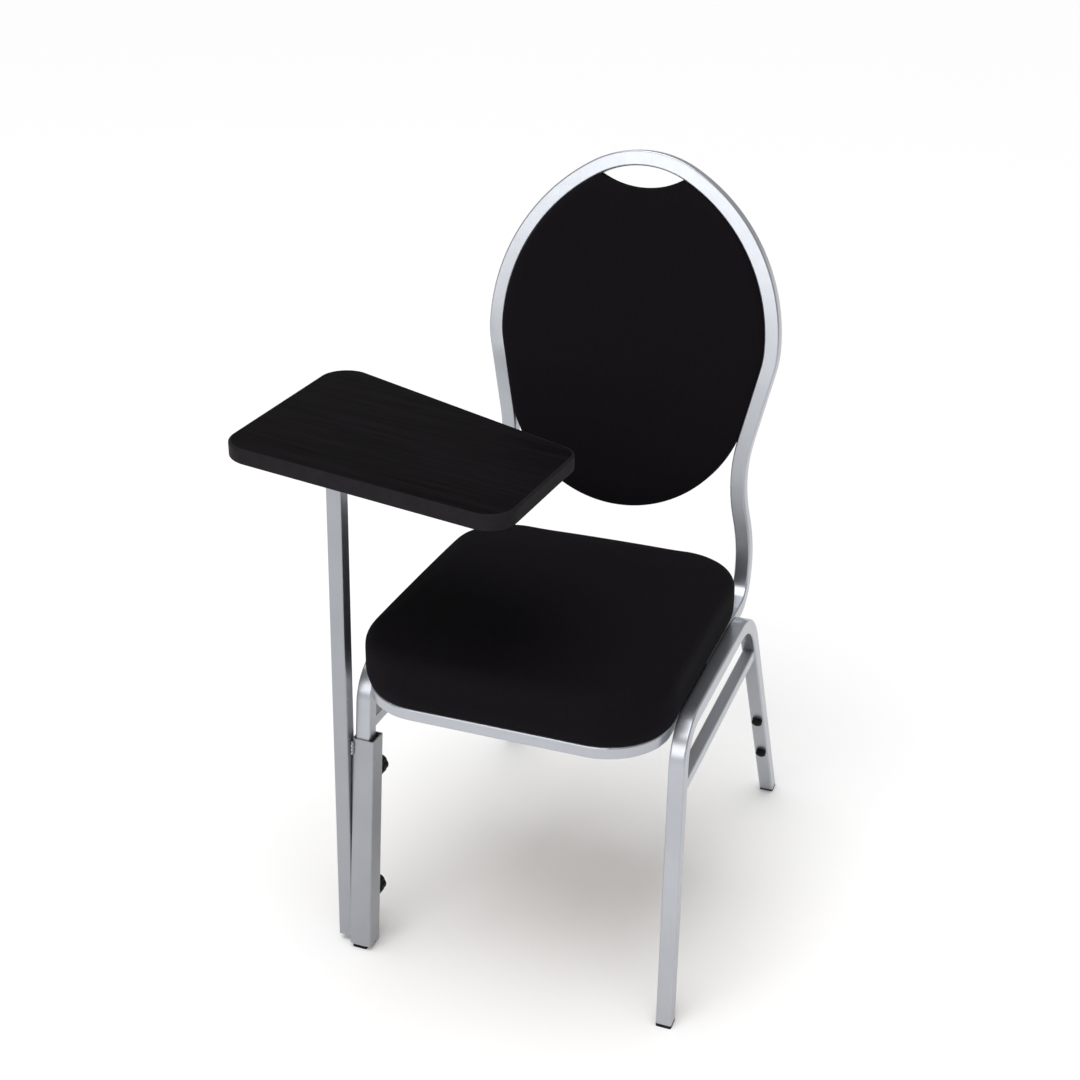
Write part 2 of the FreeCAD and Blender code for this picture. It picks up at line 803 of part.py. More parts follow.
hoop_outer, hoop_inner = back_hoop_parts()
left_frame = leg_frame()
left_stretcher = side_stretcher()
left_buttons = stack_buttons()
front_cap = foot_cap(front_leg)
rear_cap = foot_cap(rear_leg)
nodes = {
    "back_hoop": hollow(hoop_outer, hoop_inner),
    "seat_front_rail": seat_front_rail(),
    "cross_rail_front": cross_rail(front_cross_rail_y),
    "cross_rail_rear": cross_rail(rear_cross_rail_y),
    "leg_frame_left": left_frame,
    "leg_frame_right": mirrored(left_frame),
    "side_stretcher_left": left_stretcher,
    "side_stretcher_right": mirrored(left_stretcher),
    "foot_cap_front_left": front_cap,
    "foot_cap_front_right": mirrored(front_cap),
    "foot_cap_rear_left": rear_cap,
    "foot_cap_rear_right": mirrored(rear_cap),
    "stack_buttons_left": left_buttons,
    "stack_buttons_right": mirrored(left_buttons),
    "seat_board": seat_board(),
    "seat_cushion": seat_cushion(),
    "seat_tee_nuts": seat_tee_nuts(),
    "seat_screws": seat_screws(),
    "back_tabs": back_tabs(joined(hoop_outer)),
    "back_screws": back_screws(),
    "back_board": back_board(),
    "back_pad": back_pad(),
    "back_rear_cover": back_rear_cover(),
    "clamp_sleeve": mirrored(clamp_sleeve()),
    "clamp_nuts": mirrored(clamp_nuts()),
    "upper_clamp_stud": mirrored(clamp_stud(clamp_heights[0])),
    "upper_clamp_knob": mirrored(clamp_knob(clamp_heights[0])),
    "lower_clamp_stud": mirrored(clamp_stud(clamp_heights[1])),
    "lower_clamp_knob": mirrored(clamp_knob(clamp_heights[1])),
    "tablet_post": mirrored(tablet_post()),
    "post_welds": mirrored(post_welds()),
    "tablet_plate": mirrored(tablet_plate()),
    "tablet_screws": mirrored(tablet_screws()),
    "tablet_board": mirrored(tablet_board()),
    "tablet_edge_band": mirrored(tablet_edge_band()),
}

# Middle of the underside of the bounding box
box = FreeCAD.BoundBox()
for shape in nodes.values():
    box.add(shape.optimalBoundingBox(False, False))
to_origin = Vector(-box.Center.x, -box.Center.y, -box.ZMin)

os.makedirs("parts", exist_ok=True)
for name, shape in nodes.items():
    shape.translate(to_origin)
    shape.exportStep("parts/" + name + ".step")
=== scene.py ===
import json
import math

import bpy
import numpy as np
from mathutils import Matrix, Vector
from mathutils.bvhtree import BVHTree

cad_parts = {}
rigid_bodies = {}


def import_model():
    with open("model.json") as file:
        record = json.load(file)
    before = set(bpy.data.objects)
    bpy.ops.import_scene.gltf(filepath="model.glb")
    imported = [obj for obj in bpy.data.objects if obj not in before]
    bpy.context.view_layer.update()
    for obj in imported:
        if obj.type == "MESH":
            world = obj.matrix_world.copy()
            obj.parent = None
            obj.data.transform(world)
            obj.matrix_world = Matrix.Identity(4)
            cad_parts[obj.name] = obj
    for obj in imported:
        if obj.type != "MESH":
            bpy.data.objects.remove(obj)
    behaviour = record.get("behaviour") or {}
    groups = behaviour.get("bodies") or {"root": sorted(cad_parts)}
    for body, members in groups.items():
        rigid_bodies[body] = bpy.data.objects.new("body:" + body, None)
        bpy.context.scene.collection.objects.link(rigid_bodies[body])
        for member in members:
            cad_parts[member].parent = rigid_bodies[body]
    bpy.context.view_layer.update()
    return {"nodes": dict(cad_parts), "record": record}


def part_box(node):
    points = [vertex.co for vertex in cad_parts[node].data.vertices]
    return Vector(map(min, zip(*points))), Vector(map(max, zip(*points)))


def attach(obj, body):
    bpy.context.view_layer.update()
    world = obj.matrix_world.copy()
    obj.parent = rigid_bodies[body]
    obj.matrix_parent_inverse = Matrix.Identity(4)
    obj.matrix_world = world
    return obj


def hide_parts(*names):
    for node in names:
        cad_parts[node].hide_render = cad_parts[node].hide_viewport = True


# Tablet arm chair, in metres: z up, the sitter faces -y and has +x at the left hand. The CAD pieces get
# materials and the three soft ones get modelled cloth covers. Floor, light and camera follow.
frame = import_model()
nodes = frame["nodes"]
scene = bpy.context.scene
for name in list(bpy.data.objects.keys()):
    if name in ("Cube", "Light", "Camera"):
        bpy.data.objects.remove(bpy.data.objects[name])


# Materials
class Surface:
    """A node material. Its coordinates are metres, so a noise scale of 1000 gives grains of a millimetre."""

    def __init__(self, name, roughness, metallic=0.0):
        self.material = bpy.data.materials.new(name)
        self.material.use_nodes = True
        self.tree = self.material.node_tree
        self.shader = self.tree.nodes["Principled BSDF"]
        self.set("Roughness", roughness)
        self.set("Metallic", metallic)
        self.coordinates = self.tree.nodes.new("ShaderNodeTexCoord")

    def set(self, socket, value):
        self.shader.inputs[socket].default_value = value

    def node(self, kind, **settings):
        made = self.tree.nodes.new(kind)
        for key, value in settings.items():
            setattr(made, key, value)
        return made

    def link(self, source, target):
        self.tree.links.new(source, target)

    def place(self, scale=(1, 1, 1), space="Object", turn=0.0):
        # The turn comes before the scale, so that it turns a stretched grain too
        mapping = self.node("ShaderNodeMapping", vector_type="TEXTURE")
        mapping.inputs["Scale"].default_value = [1 / share for share in scale]
        mapping.inputs["Rotation"].default_value = (0, 0, turn)
        self.link(self.coordinates.outputs[space], mapping.inputs["Vector"])
        return mapping.outputs["Vector"]

    def noise(self, vector, scale=1.0, detail=3.0, rough=0.5):
        made = self.node("ShaderNodeTexNoise")
        made.inputs["Scale"].default_value = scale
        made.inputs["Detail"].default_value = detail
        made.inputs["Roughness"].default_value = rough
        self.link(vector, made.inputs["Vector"])
        return made.outputs["Fac"]

    def wave(self, vector, pitch, direction, distortion=0.0):
        # Blender's bands come at 20 radians for each unit of scale
        made = self.node("ShaderNodeTexWave", bands_direction=direction)
        made.inputs["Scale"].default_value = 2 * math.pi / (20 * pitch)
        made.inputs["Distortion"].default_value = distortion
        self.link(vector, made.inputs["Vector"])
        return made.outputs["Fac"]

    def math(self, operation, a, b):
        made = self.node("ShaderNodeMath", operation=operation)
        for socket, value in zip(made.inputs, (a, b)):
            if isinstance(value, (int, float)):
                socket.default_value = value
            else:
                self.link(value, socket)
        return made.outputs[0]

    def blend(self, a, b, share):
        # The share of a, and the rest of b
        return self.math("ADD", self.math("MULTIPLY", a, share), self.math("MULTIPLY", b, 1 - share))

    def ramp(self, factor, stops):
        made = self.node("ShaderNodeValToRGB")
        elements = made.color_ramp.elements
        while len(elements) < len(stops):
            elements.new(0.5)
        for element, (position, colour) in zip(elements, stops):
            element.position = position
            element.color = (*colour, 1.0)
        self.link(factor, made.inputs["Fac"])
        return made.outputs["Color"]

    def span(self, factor, low, high):
        made = self.node("ShaderNodeMapRange")
        made.inputs["To Min"].default_value = low
        made.inputs["To Max"].default_value = high
        self.link(factor, made.inputs["Value"])
        return made.outputs["Result"]

    def bump(self, height, distance, strength, under=None):
        made = self.node("ShaderNodeBump")
        made.inputs["Distance"].default_value = distance
        made.inputs["Strength"].default_value = strength
        self.link(height, made.inputs["Height"])
        if under is not None:
            self.link(under, made.inputs["Normal"])
        self.link(made.outputs["Normal"], self.shader.inputs["Normal"])
        return made.outputs["Normal"]

    def colour(self, socket):
        self.link(socket, self.shader.inputs["Base Color"])

    def roughness(self, socket):
        self.link(socket, self.shader.inputs["Roughness"])


def silver_coat(name, shade=1.0, weld=False):
    # Satin metallic powder coat: fine flake in the colour, a slight orange peel in the surface, and on a
    # weld the ripple of its bead
    # A shade below 1 makes a darker copy of the coat: painted shade
    dark = [shade * level for level in (0.39, 0.405, 0.435)]
    light = [shade * level for level in (0.455, 0.47, 0.505)]
    s = Surface(name, roughness=0.3, metallic=0.86)
    at = s.place()
    flake = s.noise(at, scale=1400.0, detail=2.0)
    cloud = s.noise(at, scale=14.0, detail=4.0)
    s.colour(s.ramp(s.blend(flake, cloud, share=0.55), [(0.3, dark), (0.7, light)]))
    s.roughness(s.span(s.noise(at, scale=60.0), low=0.25, high=0.34))
    peel = s.bump(s.noise(at, scale=420.0, detail=2.0), distance=0.00002, strength=0.1)
    if weld:
        ripple = s.wave(at, bead_ripple, "Z", distortion=1.5)
        s.bump(ripple, distance=0.0012, strength=0.8, under=peel)
    return s.material


def black_plastic(name, dark, light, gloss):
    # Moulded plastic with a fine spark-eroded grain
    s = Surface(name, roughness=0.5)
    at = s.place()
    grain = s.noise(at, scale=1600.0)
    s.colour(s.ramp(s.noise(at, scale=90.0), [(0.35, dark), (0.7, light)]))
    s.roughness(s.span(grain, low=0.42, high=0.6))
    s.bump(grain, distance=0.00012, strength=0.5)
    s.set("Specular IOR Level", gloss)
    return s.material


def zinc_steel(name):
    # Zinc plated screws and nuts, a little cloudy
    dark = (0.50, 0.50, 0.48)
    light = (0.68, 0.68, 0.65)
    s = Surface(name, roughness=0.34, metallic=1.0)
    at = s.place()
    cloud = s.noise(at, scale=220.0, detail=4.0)
    s.colour(s.ramp(cloud, [(0.3, dark), (0.7, light)]))
    s.roughness(s.span(s.noise(at, scale=600.0, detail=2.0), low=0.26, high=0.46))
    s.bump(s.noise(at, scale=900.0, detail=2.0), distance=0.00006, strength=0.4)
    return s.material


def stud_thread(name):
    # Zinc plated thread, drawn as fine rings along the stud
    dark = (0.46, 0.46, 0.44)
    light = (0.64, 0.64, 0.61)
    s = Surface(name, roughness=0.34, metallic=1.0)
    at = s.place()
    s.colour(s.ramp(s.noise(at, scale=300.0), [(0.3, dark), (0.7, light)]))
    s.roughness(s.span(s.noise(at, scale=700.0, detail=2.0), low=0.26, high=0.42))
    s.bump(s.wave(at, stud_pitch, "Y"), distance=0.0006, strength=1.0)
    return s.material


def plywood(name):
    # Unfinished plywood: stretched grain on the faces, plies at the edges
    dark = (0.36, 0.22, 0.11)
    middle = (0.56, 0.39, 0.22)
    light = (0.68, 0.51, 0.32)
    s = Surface(name, roughness=0.72)
    grain = s.noise(s.place((140.0, 6.0, 6.0)), detail=5.0, rough=0.6)
    plies = s.wave(s.place(), ply_pitch, "Z")
    s.colour(s.ramp(s.blend(grain, plies, share=0.85), [(0.25, dark), (0.5, middle), (0.8, light)]))
    s.roughness(s.span(grain, low=0.62, high=0.82))
    s.bump(grain, distance=0.0003, strength=0.5)
    return s.material


def black_cloth(name):
    # Close plain weave: two sets of threads that pass over and under each other, with a faint slub
    dark = (0.0032, 0.0026, 0.0034)
    light = (0.0075, 0.0062, 0.0080)
    s = Surface(name, roughness=0.85)
    at = s.place(space="UV")
    weave = s.math("MAXIMUM", s.wave(at, thread_pitch, "X"), s.wave(at, thread_pitch, "Y"))
    slub = s.noise(s.place((900.0, 60.0, 1.0), space="UV"), detail=2.0)
    shade = s.blend(weave, slub, share=0.5)
    s.colour(s.ramp(shade, [(0.25, dark), (0.8, light)]))
    s.roughness(s.span(shade, low=0.78, high=0.95))
    cloth = s.bump(weave, distance=0.0003, strength=0.6)
    s.bump(s.noise(s.place(space="UV"), scale=55.0), distance=0.0012, strength=0.12, under=cloth)
    s.set("Specular IOR Level", 0.05)
    return s.material


def black_woodgrain(name, turn):
    # Black laminate with a brushed wood grain along the tablet
    dark = (0.0012, 0.0009, 0.0012)
    light = (0.0070, 0.0056, 0.0068)
    s = Surface(name, roughness=0.42)
    grain = s.noise(s.place((5.0, 160.0, 160.0), turn=turn), detail=6.0, rough=0.62)
    fine = s.noise(s.place((25.0, 900.0, 900.0), turn=turn), rough=0.6)
    figure = s.blend(grain, fine, share=0.6)
    s.colour(s.ramp(figure, [(0.38, dark), (0.62, light)]))
    s.roughness(s.span(figure, low=0.5, high=0.7))
    s.bump(figure, distance=0.0003, strength=0.35)
    s.set("Specular IOR Level", 0.03)
    return s.material


# Pitch of each pattern that repeats
stud_pitch = 0.00125
thread_pitch = 0.0015625
bead_ripple = math.pi / 600
ply_pitch = math.pi / 600
# The grain runs along the tablet's front edge
tablet_grain_turn = math.radians(-12.3)
moulding_dark = (0.0024, 0.0024, 0.0028)
moulding_light = (0.0052, 0.0050, 0.0056)
# Painted light: the edge band's black is lighter than the laminate's, standing in for the light its side
# faces catch
painted_lit_edge_band_dark = (0.0150, 0.0132, 0.0150)
painted_lit_edge_band_light = (0.0180, 0.0158, 0.0180)
# Painted shade: the tablet arm's coat is a darker copy of the tube coat, standing in for the shade and dark
# reflections that fall on the arm
arm_painted_shade = 0.78
finishes = {
    "silver_tube": silver_coat("silver_tube_coat"),
    "black_plastic": black_plastic("black_moulded_plastic", moulding_dark, moulding_light, gloss=0.12),
    "plywood": plywood("plain_plywood"),
    "black_fabric": black_cloth("black_woven_cloth"),
    "zinc_steel": zinc_steel("zinc_plated_steel"),
    "black_woodgrain": black_woodgrain("black_woodgrain_laminate", tablet_grain_turn),
}
painted_shade_arm_coat = silver_coat("silver_arm_coat_painted_shade", arm_painted_shade)
thread = stud_thread("zinc_stud_thread")
special = {
    "clamp_sleeve": painted_shade_arm_coat,
    "tablet_post": painted_shade_arm_coat,
    "tablet_plate": painted_shade_arm_coat,
    "post_welds": silver_coat("silver_weld_coat_painted_shade", arm_painted_shade, weld=True),
    "upper_clamp_stud": thread,
    "lower_clamp_stud": thread,
    "tablet_edge_band": black_plastic("black_edge_band_painted_light", painted_lit_edge_band_dark, painted_lit_edge_band_light, gloss=0.02),
}
for part in frame["record"]["subparts"]:
    cad = nodes[part["node"]]
    cad.data.materials.clear()
    cad.data.materials.append(special.get(part["node"], finishes[part["material_slot"]]))


# Soft pieces
class Plate:
    """A flat frame: a point, two axes along the face and one out of it."""

    def __init__(self, origin, across, along):
        self.origin = Vector(origin)
        self.across = Vector(across).normalized()
        self.along = Vector(along).normalized()
        self.out = self.across.cross(self.along)
        self.axes = np.array([self.across, self.along, self.out])

    def world(self, x, y, z):
        return self.origin + self.across * x + self.along * y + self.out * z

    def local(self, points):
        return (np.asarray(points) - np.array(self.origin)) @ self.axes.T

    def to_world(self, points):
        return points @ self.axes + np.array(self.origin)


def outline_of(name, plate, level, spacing):
    # Outline of a node's side wall at a level of the plate, as points spaced evenly between its cusps,
    # and the places of the cusps in it. Rays come in from outside, and a cusp is a sharp turn of the
    # outline, the sharpest of its neighbours.
    rays = 1440
    step = 2
    neighbours = 6
    sharp = math.radians(20)
    mesh = nodes[name].data
    tree = BVHTree.FromPolygons([v.co for v in mesh.vertices], [p.vertices for p in mesh.polygons])
    middle = plate.world(0, 0, level)
    points = []
    for i in range(rays):
        angle = 2 * math.pi * i / rays
        way = plate.across * math.cos(angle) + plate.along * math.sin(angle)
        points.append(tree.ray_cast(middle + way, -way)[0])
    points = plate.local(points)[:, :2]
    headings = np.roll(points, -step, axis=0) - points
    angles = np.arctan2(headings[:, 1], headings[:, 0])
    turns = np.abs((np.roll(angles, -step) - angles + math.pi) % (2 * math.pi) - math.pi)
    corners = set()
    for i in range(rays):
        nearby = np.arange(i - neighbours, i + neighbours + 1) % rays
        if turns[i] > sharp and turns[i] == turns[nearby].max():
            corners.add((i + step) % rays)
    corners = sorted(corners)
    cusps = []
    pieces = []
    starts = corners or [0]
    for first, last in zip(starts, starts[1:] + [starts[0] + rays]):
        if corners:
            cusps.append(sum(len(piece) for piece in pieces))
        stretch = points[np.arange(first, last + 1) % rays]
        lengths = np.concatenate([[0], np.cumsum(np.linalg.norm(np.diff(stretch, axis=0), axis=1))])
        count = max(2, round(lengths[-1] / spacing))
        spots = np.arange(count) * lengths[-1] / count
        pieces.append(np.column_stack([np.interp(spots, lengths, stretch[:, k]) for k in (0, 1)]))
    return np.vstack(pieces), cusps


def edge_profile(pocket, wall, foot, side_rings, rim, rim_rings):
    """Rings from the pocket round the board to the face, as (inset, base, share, held). A ring's level is
    its base plus its share of the face's level beside the rim."""
    profile = [(inset, level, 0.0, True) for inset, level in pocket + foot]
    inset, low = wall
    for k in range(1, side_rings + 1):
        share = k / side_rings
        profile.append((inset, low * (1 - share) - rim * share, share, False))
    for k in range(1, rim_rings + 1):
        turn = math.pi / 2 * k / rim_rings
        profile.append((inset + rim * (1 - math.cos(turn)), -rim * (1 - math.sin(turn)), 1.0, False))
    return profile


def padded_mesh(name, plate, outline, cusps, profile, dome, rings):
    # Padded form of rings: up its edge by the profile, then in to the middle over the domed face. The
    # edge stays sharp at the outline's cusps, and the weave is unrolled from the middle.
    reach = np.linalg.norm(outline, axis=1)
    ways = outline / reach[:, None]
    rim_inset = profile[-1][0]
    tops = dome(ways * (reach - rim_inset)[:, None])
    points = []
    flats = []
    held = []
    lengths = [0.0]
    for before, after in zip(profile, profile[1:]):
        rise = after[1] - before[1] + (after[2] - before[2]) * tops.mean()
        lengths.append(lengths[-1] + math.hypot(after[0] - before[0], rise))
    for (inset, base, share, pin), length in zip(profile, lengths):
        spots = ways * (reach - inset)[:, None]
        unrolled = ways * (reach - rim_inset + lengths[-1] - length)[:, None]
        points.append(np.column_stack([spots, base + share * tops]))
        flats.append(unrolled)
        held.append(np.full(len(ways), pin))
    for k in range(1, rings):
        spots = ways * ((reach - rim_inset) * (1 - k / rings))[:, None]
        points.append(np.column_stack([spots, dome(spots)]))
        flats.append(spots)
        held.append(np.full(len(ways), False))
    middle = np.zeros((1, 2))
    points = np.vstack(points + [np.column_stack([middle, dome(middle)])])
    flats = np.vstack(flats + [middle])
    pins = np.flatnonzero(np.concatenate(held + [[False]])).tolist()
    count = len(ways)
    loops = (len(points) - 1) // count
    faces = []
    for ring in range(loops - 1):
        for i in range(count):
            j = (i + 1) % count
            low = ring * count
            faces.append((low + i, low + j, low + count + j, low + count + i))
    last = (loops - 1) * count
    faces += [(last + i, last + (i + 1) % count, len(points) - 1) for i in range(count)]
    mesh = bpy.data.meshes.new(name)
    mesh.from_pydata([tuple(p) for p in plate.to_world(points)], [], faces)
    uv = mesh.uv_layers.new(name="weave")
    corners = np.zeros(len(mesh.loops), np.int32)
    mesh.loops.foreach_get("vertex_index", corners)
    uv.data.foreach_set("uv", flats[corners].astype(np.float32).ravel())
    mesh.shade_smooth()
    if cusps:
        crease = mesh.attributes.new("crease_edge", "FLOAT", "EDGE")
        edge_rings = len(profile)
        for edge in mesh.edges:
            low, high = sorted(edge.vertices)
            if high - low == count and low % count in cusps and high // count < edge_rings:
                crease.data[edge.index].value = 1.0
    piece = bpy.data.objects.new(name, mesh)
    scene.collection.objects.link(piece)
    mesh.materials.append(finishes["black_fabric"])
    return piece, pins


def inflate(piece, pins, smoothing, settle):
    # Pressure swells the cloth between its held edges. The swelling is smoothed to taut cloth with a share
    # of its creases left, and settle(rest, moved) caps how far each point goes.
    frames = 20
    crease_share = 0.1
    hold = 0.5
    mesh = piece.data
    rest = np.array([v.co for v in mesh.vertices])
    moved = rest
    piece.vertex_groups.new(name="held").add(pins, 1.0, "REPLACE")
    cloth = piece.modifiers.new("swell", "CLOTH")
    settings = cloth.settings
    settings.quality = 6
    settings.mass = 0.25
    settings.tension_stiffness = 22.0
    settings.compression_stiffness = 22.0
    settings.shear_stiffness = 10.0
    settings.bending_stiffness = 1.2
    settings.vertex_group_mass = "held"
    settings.use_pressure = True
    settings.uniform_pressure_force = 4.0
    settings.effector_weights.gravity = 0.0
    cloth.point_cache.frame_start = 1
    cloth.point_cache.frame_end = frames
    for step in range(1, frames + 1):
        scene.frame_set(step)
    swollen = piece.evaluated_get(bpy.context.evaluated_depsgraph_get())
    moved = np.array([v.co for v in swollen.data.vertices])
    piece.modifiers.remove(cloth)
    piece.vertex_groups.clear()
    scene.frame_set(1)
    away = moved - rest
    edges = np.array([e.vertices for e in mesh.edges])
    links = np.bincount(edges.ravel(), minlength=len(rest))[:, None]
    loose = np.ones((len(rest), 1))
    loose[pins] = 0.0
    calm = away.copy()
    for step in range(smoothing):
        pull = np.zeros_like(calm)
        np.add.at(pull, edges[:, 0], calm[edges[:, 1]])
        np.add.at(pull, edges[:, 1], calm[edges[:, 0]])
        calm = loose * (hold * calm + (1 - hold) * pull / links)
    final = settle(rest, rest + calm + crease_share * (away - calm))
    mesh.vertices.foreach_set("co", final.astype(np.float32).ravel())
    mesh.update()


def cap_sideways(away, cap):
    # Moves along the face are kept within the cap
    sideways = np.linalg.norm(away[:, :2], axis=1)
    away[:, :2] *= np.minimum(1, cap / np.maximum(sideways, 1e-9))[:, None]


def dress(piece, body, node):
    finer = piece.modifiers.new("finer", "SUBSURF")
    finer.levels = 1
    finer.render_levels = 1
    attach(piece, body)
    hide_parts(node)


def make_seat_cushion():
    low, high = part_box("seat_cushion")
    board_low, board_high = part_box("seat_board")
    middle = (low + high) / 2
    plate = Plate((middle.x, middle.y, low.z), (1, 0, 0), (0, 1, 0))
    height = high.z - low.z
    board_edge = board_low.x - low.x
    pocket_top = board_high.z - low.z
    crown_radius = 3.0
    crown_drop = 0.0045
    swell = 0.0065
    swell_height = 0.025
    swell_curve = 1.4
    board_gap = 0.0004
    board_lap = 0.005
    pocket_mouth = 0.006
    wall_inset = 0.0006
    wall_foot = 0.0035

    def dome(spots):
        return height - crown_drop - (spots ** 2).sum(1) / (2 * crown_radius)

    # Rings as (inset, level): in the pocket round the board, then the rolled lower edge
    board_side = board_edge - board_gap
    pocket = [(board_edge + board_lap, pocket_top + board_gap), (board_side, pocket_top + board_gap),
              (board_side, pocket_mouth), (board_side, board_gap)]
    rolled_edge = [(0.0045, 0.0002), (0.0018, 0.0008), (0.0004, wall_foot)]
    foot = [(swell + inset, level) for inset, level in rolled_edge]
    profile = edge_profile(pocket, (wall_inset, wall_foot), foot, side_rings=6, rim=0.018, rim_rings=5)
    # The sides are drawn in below the swell
    for ring, (inset, base, share, held) in enumerate(profile):
        if share:
            tuck = max(0.0, 1 - (base + share * height) / swell_height)
            profile[ring] = (inset + swell * tuck ** swell_curve, base, share, held)
    outline, cusps = outline_of("seat_cushion", plate, level=0.035, spacing=0.008)
    piece, pins = padded_mesh("seat_cushion_cover", plate, outline, cusps, profile, dome, rings=20)

    # Over the front rail, which lies lower than the side tubes, the foot of the cover comes down to the rail
    # and a little out over it
    hoop_end_gap = 0.012
    ease_length = 0.02
    rail_gap = 0.0003
    lowered_height = 0.009
    overhang = 0.002
    overhang_height = 0.025
    lowered_side_rings = 2
    rail_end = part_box("back_hoop")[0].y - hoop_end_gap
    drop = low.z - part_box("seat_front_rail")[1].z - rail_gap
    count = len(outline)
    lower_edge = slice(len(pocket) * count, (len(pocket) + len(foot) + lowered_side_rings) * count)
    for vert in piece.data.vertices[lower_edge]:
        level = max(0.0, vert.co.z - low.z)
        ease = min(1.0, max(0.0, (rail_end - vert.co.y) / ease_length))
        outward = (vert.co - plate.origin).to_2d().normalized().to_3d()
        vert.co += outward * (overhang * ease * max(0.0, 1 - level / overhang_height))
        vert.co.z -= drop * ease * max(0.0, 1 - level / lowered_height)

    # The cover swells in the middle, and its edges keep their line
    edge_cap = 0.0008
    middle_rise = 0.0022
    free_level = 0.004
    free_span = 0.012
    edge_share = 0.9
    edge_fade = 0.3

    def settle(rest, moved):
        start = plate.local(rest)
        away = plate.local(moved) - start
        cap_sideways(away, edge_cap * np.clip((start[:, 2] - free_level) / free_span, 0, 1))
        half = np.abs(start[:, :2]).max(0)
        from_middle = (np.abs(start[:, :2]) / half).max(1)
        middle_share = np.clip((edge_share - from_middle) / edge_fade, 0, 1)
        away[:, 2] = np.clip(away[:, 2], -edge_cap, edge_cap + middle_rise * middle_share)
        return plate.to_world(start + away)

    inflate(piece, pins, smoothing=40, settle=settle)
    dress(piece, "chair", "seat_cushion")


def back_plate():
    # Plane of the back board, with its normal to the front, and the board's thickness
    points = np.array([v.co for v in nodes["back_board"].data.vertices])
    low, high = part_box("back_board")
    middle = points.mean(0)
    out = Vector(np.linalg.svd(points - middle, full_matrices=False)[2][2])
    if out.y > 0:
        out = -out
    across = Vector((1, 0, 0))
    along = out.cross(across)
    flat = (points - middle) @ np.array([along, out]).T
    shift = (flat.min(0) + flat.max(0)) / 2
    origin = Vector(middle) + along * shift[0] + out * shift[1]
    origin.x = (low.x + high.x) / 2
    thickness = flat[:, 1].max() - flat[:, 1].min()
    return Plate(origin, across, along), thickness


def make_back_pad(name, node, plate, thickness, facing, crown_radius, rim, swell):
    # facing is 1 for the front pad, which wraps the board's edge, and -1 for the rear cover
    face = Plate(plate.origin, plate.across * facing, plate.along)
    points = face.local([v.co for v in nodes[node].data.vertices])
    peak = points[:, 2].max()
    centre_y = (points[:, 1].min() + points[:, 1].max()) / 2
    face = Plate(face.world(0, centre_y, 0), face.across, face.along)
    base = -thickness / 2 if facing > 0 else thickness / 2
    crown_drop = 0.0007
    # The cloth is pressed against the hoop, nearer than the solid
    press = -0.0003
    board_gap = 0.0004
    board_inset = 0.0056
    board_lap = 0.0105
    wall_foot = base + 0.0025

    def dome(spots):
        return peak - crown_drop - (spots ** 2).sum(1) / (2 * crown_radius)

    # Rings as (inset, level): in the pocket round the board, then the rolled edge
    pocket = []
    if facing > 0:
        pocket_top = thickness / 2 + board_gap
        pocket = [(board_lap, pocket_top), (board_inset, pocket_top), (board_inset, base + board_gap)]
    foot = [(0.0030, base + 0.0002), (0.0006, base + 0.0008), (press, wall_foot)]
    profile = edge_profile(pocket, (press, wall_foot), foot, side_rings=3, rim=rim, rim_rings=4)
    outline, cusps = outline_of("back_pad", face, level=0.0, spacing=0.006)
    piece, pins = padded_mesh(name, face, outline, cusps, profile, dome, rings=18)

    side_cap = 0.0002
    sink_cap = 0.001

    def settle(rest, moved):
        start = face.local(rest)
        away = face.local(moved) - start
        cap_sideways(away, side_cap)
        away[:, 2] = np.clip(away[:, 2], -sink_cap, swell)
        return face.to_world(start + away)

    inflate(piece, pins, smoothing=30, settle=settle)
    dress(piece, "chair", node)


make_seat_cushion()
back, board_thickness = back_plate()
make_back_pad("back_pad_cover", "back_pad", back, board_thickness, facing=1,
              crown_radius=2.8, rim=0.005, swell=0.0035)
make_back_pad("back_rear_cover_cloth", "back_rear_cover", back, board_thickness, facing=-1,
              crown_radius=3.6, rim=0.0035, swell=0.002)

# Floor: pale near the chair, and as grey as the studio behind it far away, so that no horizon shows
studio_grey = 0.42
floor_pale = 0.985
floor_reach = 40.0
fade_start = 12.0
fade_end = 38.0
floor_corners = [(x * floor_reach, y * floor_reach, 0) for x, y in ((-1, -1), (1, -1), (1, 1), (-1, 1))]
floor_mesh = bpy.data.meshes.new("floor")
floor_mesh.from_pydata(floor_corners, [], [(0, 1, 2, 3)])
floor = bpy.data.objects.new("floor", floor_mesh)
scene.collection.objects.link(floor)
ground = Surface("pale_floor", roughness=0.9)
away = ground.node("ShaderNodeVectorMath", operation="LENGTH")
ground.link(ground.coordinates.outputs["Object"], away.inputs[0])
fade = ground.node("ShaderNodeMapRange", interpolation_type="SMOOTHSTEP")
fade.inputs["From Min"].default_value = fade_start
fade.inputs["From Max"].default_value = fade_end
ground.link(away.outputs["Value"], fade.inputs["Value"])
ground.colour(ground.ramp(fade.outputs["Result"], [(0.0, [floor_pale] * 3), (1.0, [studio_grey] * 3)]))
ground.bump(ground.noise(ground.place(), scale=40.0), distance=0.0004, strength=0.2)
ground.set("Specular IOR Level", 0.1)
floor_mesh.materials.append(ground.material)

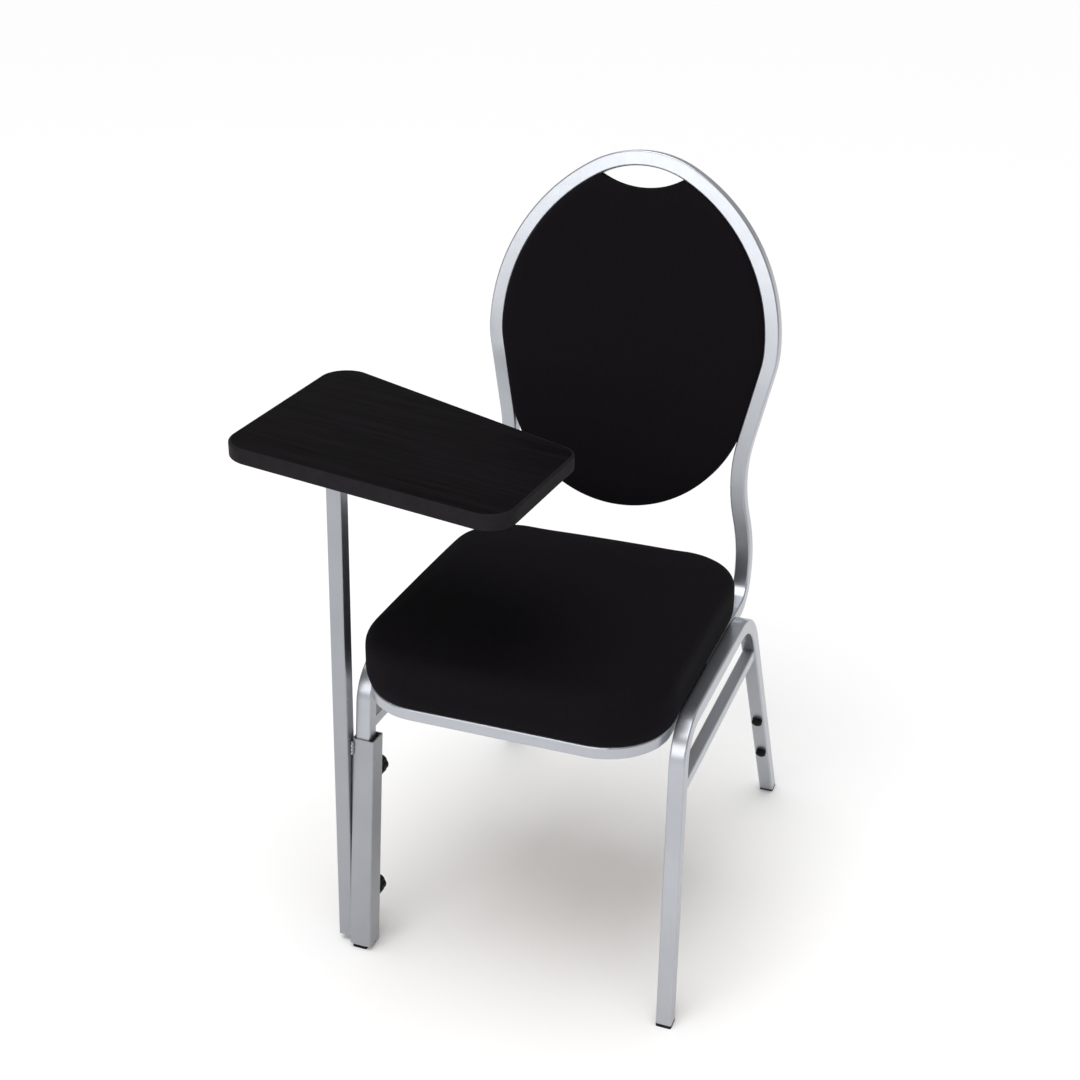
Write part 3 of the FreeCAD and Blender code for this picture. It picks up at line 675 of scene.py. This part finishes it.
# Light: a grey studio, a broad overcast from above and a panel in front
world = bpy.data.worlds.new("studio")
scene.world = world
world.use_nodes = True
world.node_tree.nodes["Background"].inputs["Color"].default_value = (1.0, 1.0, 1.0, 1.0)
world.node_tree.nodes["Background"].inputs["Strength"].default_value = studio_grey


def add_light(name, data, place, aim):
    light = bpy.data.objects.new(name, data)
    light.location = place
    light.rotation_euler = aim.to_track_quat("-Z", "Y").to_euler()
    scene.collection.objects.link(light)


overcast = bpy.data.lights.new("overcast", "SUN")
overcast.energy = 1.9
overcast.angle = math.radians(50)
add_light("overcast", overcast, place=(0, 0, 0), aim=Vector((0.08, 0.2, -1.0)))
panel = bpy.data.lights.new("front_panel", "AREA")
panel.shape = "RECTANGLE"
panel.size = 3.0
panel.size_y = 1.7
panel.energy = 40.0
add_light("front_panel", panel, place=(-0.35, -3.0, 1.6), aim=Vector((0, 1, 0)))

# Camera, as the photograph was taken. Pixels are the photograph's.
photo_side = 1080.0
focal_pixels = 1615.58
sight_x = 512.95
sight_y = 482.7
azimuth = math.radians(21.14)
elevation = math.radians(22.7)
roll = math.radians(0.14)
camera_place = (0.6356, -1.6922, 1.3276)
camera_data = bpy.data.cameras.new("photo_camera")
camera_data.sensor_width = 36.0
camera_data.lens = focal_pixels / photo_side * camera_data.sensor_width
camera_data.shift_x = (photo_side / 2 - sight_x) / photo_side
camera_data.shift_y = (sight_y - photo_side / 2) / photo_side
camera_data.clip_end = 200.0
camera = bpy.data.objects.new("photo_camera", camera_data)
flat = math.cos(elevation)
backward = Vector((math.sin(azimuth) * flat, -math.cos(azimuth) * flat, math.sin(elevation)))
level_right = Vector((math.cos(azimuth), math.sin(azimuth), 0))
level_up = backward.cross(level_right)
right = level_right * math.cos(roll) + level_up * math.sin(roll)
up = backward.cross(right)
turn = Matrix((right, up, backward)).transposed().to_4x4()
camera.matrix_world = Matrix.Translation(camera_place) @ turn
scene.collection.objects.link(camera)
scene.camera = camera
scene.view_settings.view_transform = "Standard"
